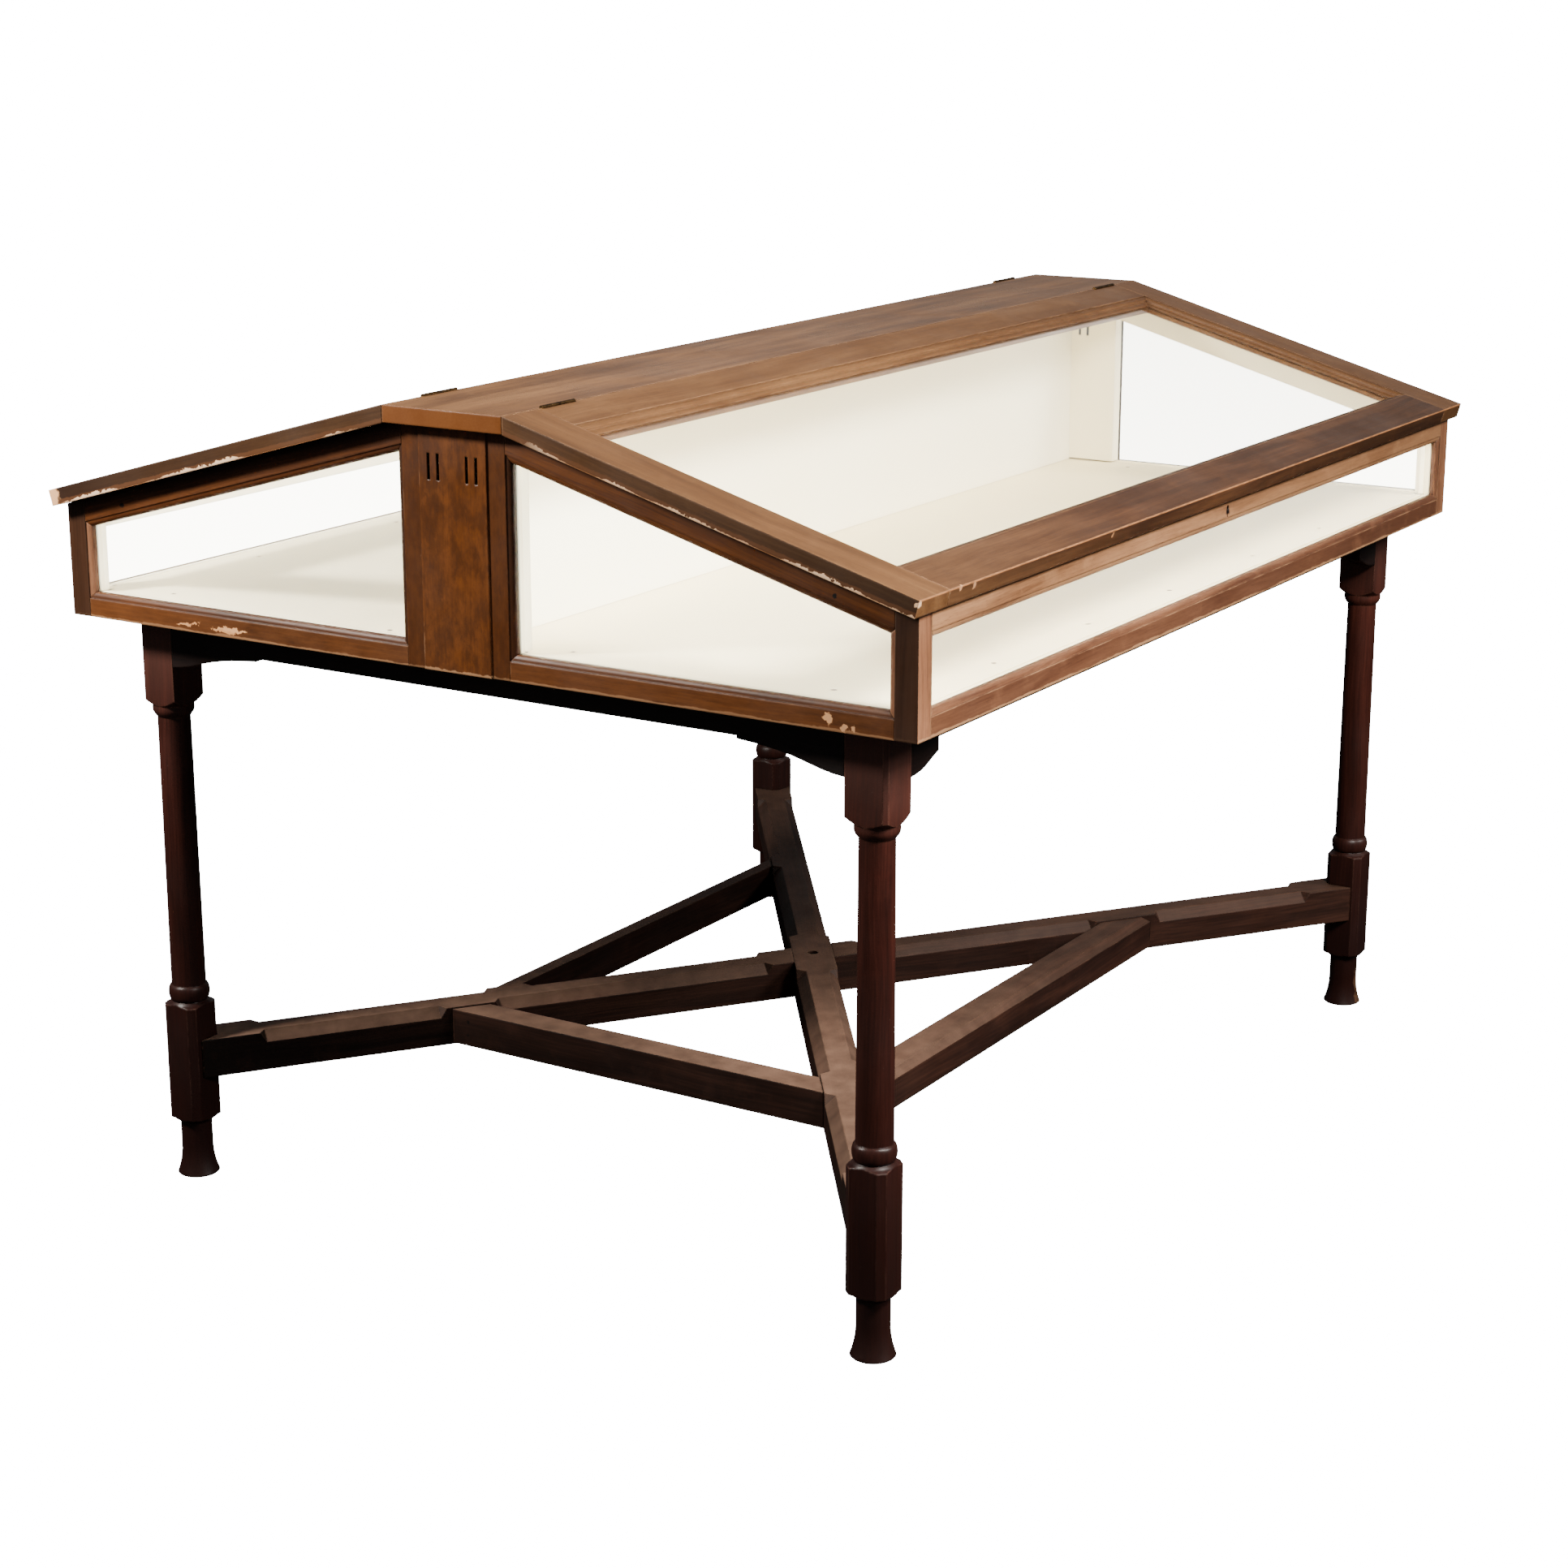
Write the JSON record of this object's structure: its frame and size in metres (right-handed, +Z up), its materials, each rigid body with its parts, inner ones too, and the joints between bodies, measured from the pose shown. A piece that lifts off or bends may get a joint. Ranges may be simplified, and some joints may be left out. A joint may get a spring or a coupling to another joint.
{
  "type": "two-sided display case on a turned stand",
  "caption": "Wooden museum display case with a glazed ridged top, hinged lids on both sides and a turned-leg stand with crossed stretchers.",
  "frame": {"origin": "on the floor, under the middle of the case", "axes": "+X along the ridge, towards the far gable of the picture; +Y across the case, from the front lid to the rear lid; +Z up"},
  "size_m": [1.6256, 1.244, 1.074],
  "materials": {
    "case_wood": "worn varnish",
    "gable_wood": "worn varnish",
    "stand_wood": "dark polish",
    "stretcher_wood": "worn and dusty",
    "white_paint": "matt white paint",
    "glass": "clear",
    "brass": "tarnished",
    "screw": "dark"
  },
  "bodies": {
    "base": {"apron_front": "stand_wood", "apron_left": "stand_wood", "apron_rear": "stand_wood", "apron_right": "stand_wood", "bar_front": "stretcher_wood", "bar_left": "stretcher_wood", "bar_rear": "stretcher_wood", "base_board": "white_paint", "bottom_rail_front": "case_wood", "bottom_rail_left": "gable_wood", "bottom_rail_rear": "case_wood", "bottom_rail_right": "gable_wood", "corner_post_front_left": "case_wood", "corner_post_front_right": "case_wood", "corner_post_rear_left": "case_wood", "corner_post_rear_right": "case_wood", "crossing_screw": "screw", "front_hinge_left_fixed_leaf": "brass", "front_hinge_right_fixed_leaf": "brass", "gable_pane_front_left": "glass", "gable_pane_front_right": "glass", "gable_pane_rear_left": "glass", "gable_pane_rear_right": "glass", "gable_post_left": "gable_wood", "gable_post_right": "gable_wood", "gable_rail_front_left": "gable_wood", "gable_rail_front_right": "gable_wood", "gable_rail_rear_left": "gable_wood", "gable_rail_rear_right": "gable_wood", "leg_front_left": "stand_wood", "leg_front_right": "stand_wood", "leg_rear_left": "stand_wood", "leg_rear_right": "stand_wood", "lock_case": "brass", "pane_front": "glass", "pane_rear": "glass", "partition": "white_paint", "rear_hinge_left_fixed_leaf": "brass", "rear_hinge_right_fixed_leaf": "brass", "ridge_board": "case_wood", "stretcher_over": "stretcher_wood", "stretcher_under": "stretcher_wood", "top_rail_front": "case_wood", "top_rail_rear": "case_wood"},
    "front_lid": {"front_hinge_left_lid_leaf": "brass", "front_hinge_right_lid_leaf": "brass", "front_lid_eave_rail": "case_wood", "front_lid_glass": "glass", "front_lid_hinge_rail": "case_wood", "front_lid_stile_left": "case_wood", "front_lid_stile_right": "case_wood", "lid_staple": "brass"},
    "rear_lid": {"rear_hinge_left_lid_leaf": "brass", "rear_hinge_right_lid_leaf": "brass", "rear_lid_eave_rail": "case_wood", "rear_lid_glass": "glass", "rear_lid_hinge_rail": "case_wood", "rear_lid_stile_left": "case_wood", "rear_lid_stile_right": "case_wood"},
    "front_lock_bolt": {"lock_bolt": "brass"}
  },
  "joints": [
    {"name": "front_lid_hinge", "type": "hinge", "parent": "base", "child": "front_lid", "pos_m": [0, -0.0854, 1.07142], "axis": [-1, 0, 0], "range_deg": [0, 105]},
    {"name": "rear_lid_hinge", "type": "hinge", "parent": "base", "child": "rear_lid", "pos_m": [0, 0.0854, 1.07142], "axis": [1, 0, 0], "range_deg": [0, 105]},
    {"name": "front_lock_bolt_slide", "type": "slide", "parent": "base", "child": "front_lock_bolt", "axis": [1, 0, 0], "range_m": [0, 0.007]}
  ]
}
